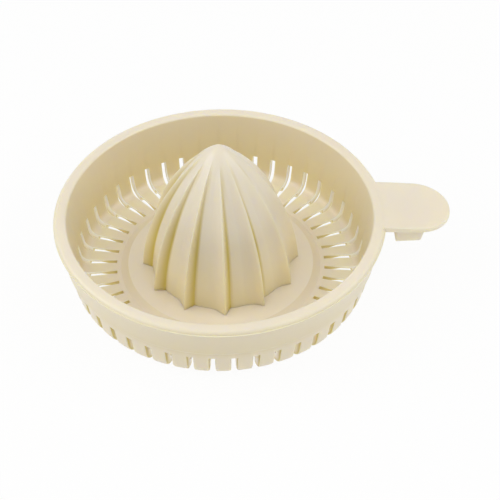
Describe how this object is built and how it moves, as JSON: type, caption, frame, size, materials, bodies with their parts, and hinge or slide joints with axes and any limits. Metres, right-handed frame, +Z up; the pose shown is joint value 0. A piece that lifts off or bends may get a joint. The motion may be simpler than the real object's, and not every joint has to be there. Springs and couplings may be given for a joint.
{
  "type": "lemon squeezer",
  "caption": "Hand citrus squeezer in cream plastic: ribbed reamer that lifts off a round slotted strainer dish with a thumb tab and a locating lug under it.",
  "frame": {"origin": "centre of the dish's flat underside", "axes": "+Z up along the reamer, +X out along the thumb tab"},
  "size_m": [0.1557, 0.13, 0.0636],
  "materials": {
    "cream_plastic": "moulded, satin"
  },
  "bodies": {
    "dish": {"strainer_dish": "cream_plastic"},
    "reamer": {"reamer_cone": "cream_plastic"}
  },
  "joints": [
    {"name": "reamer_lift", "type": "slide", "parent": "dish", "child": "reamer", "axis": [0, 0, 1], "range_m": [0, 0.045]}
  ]
}
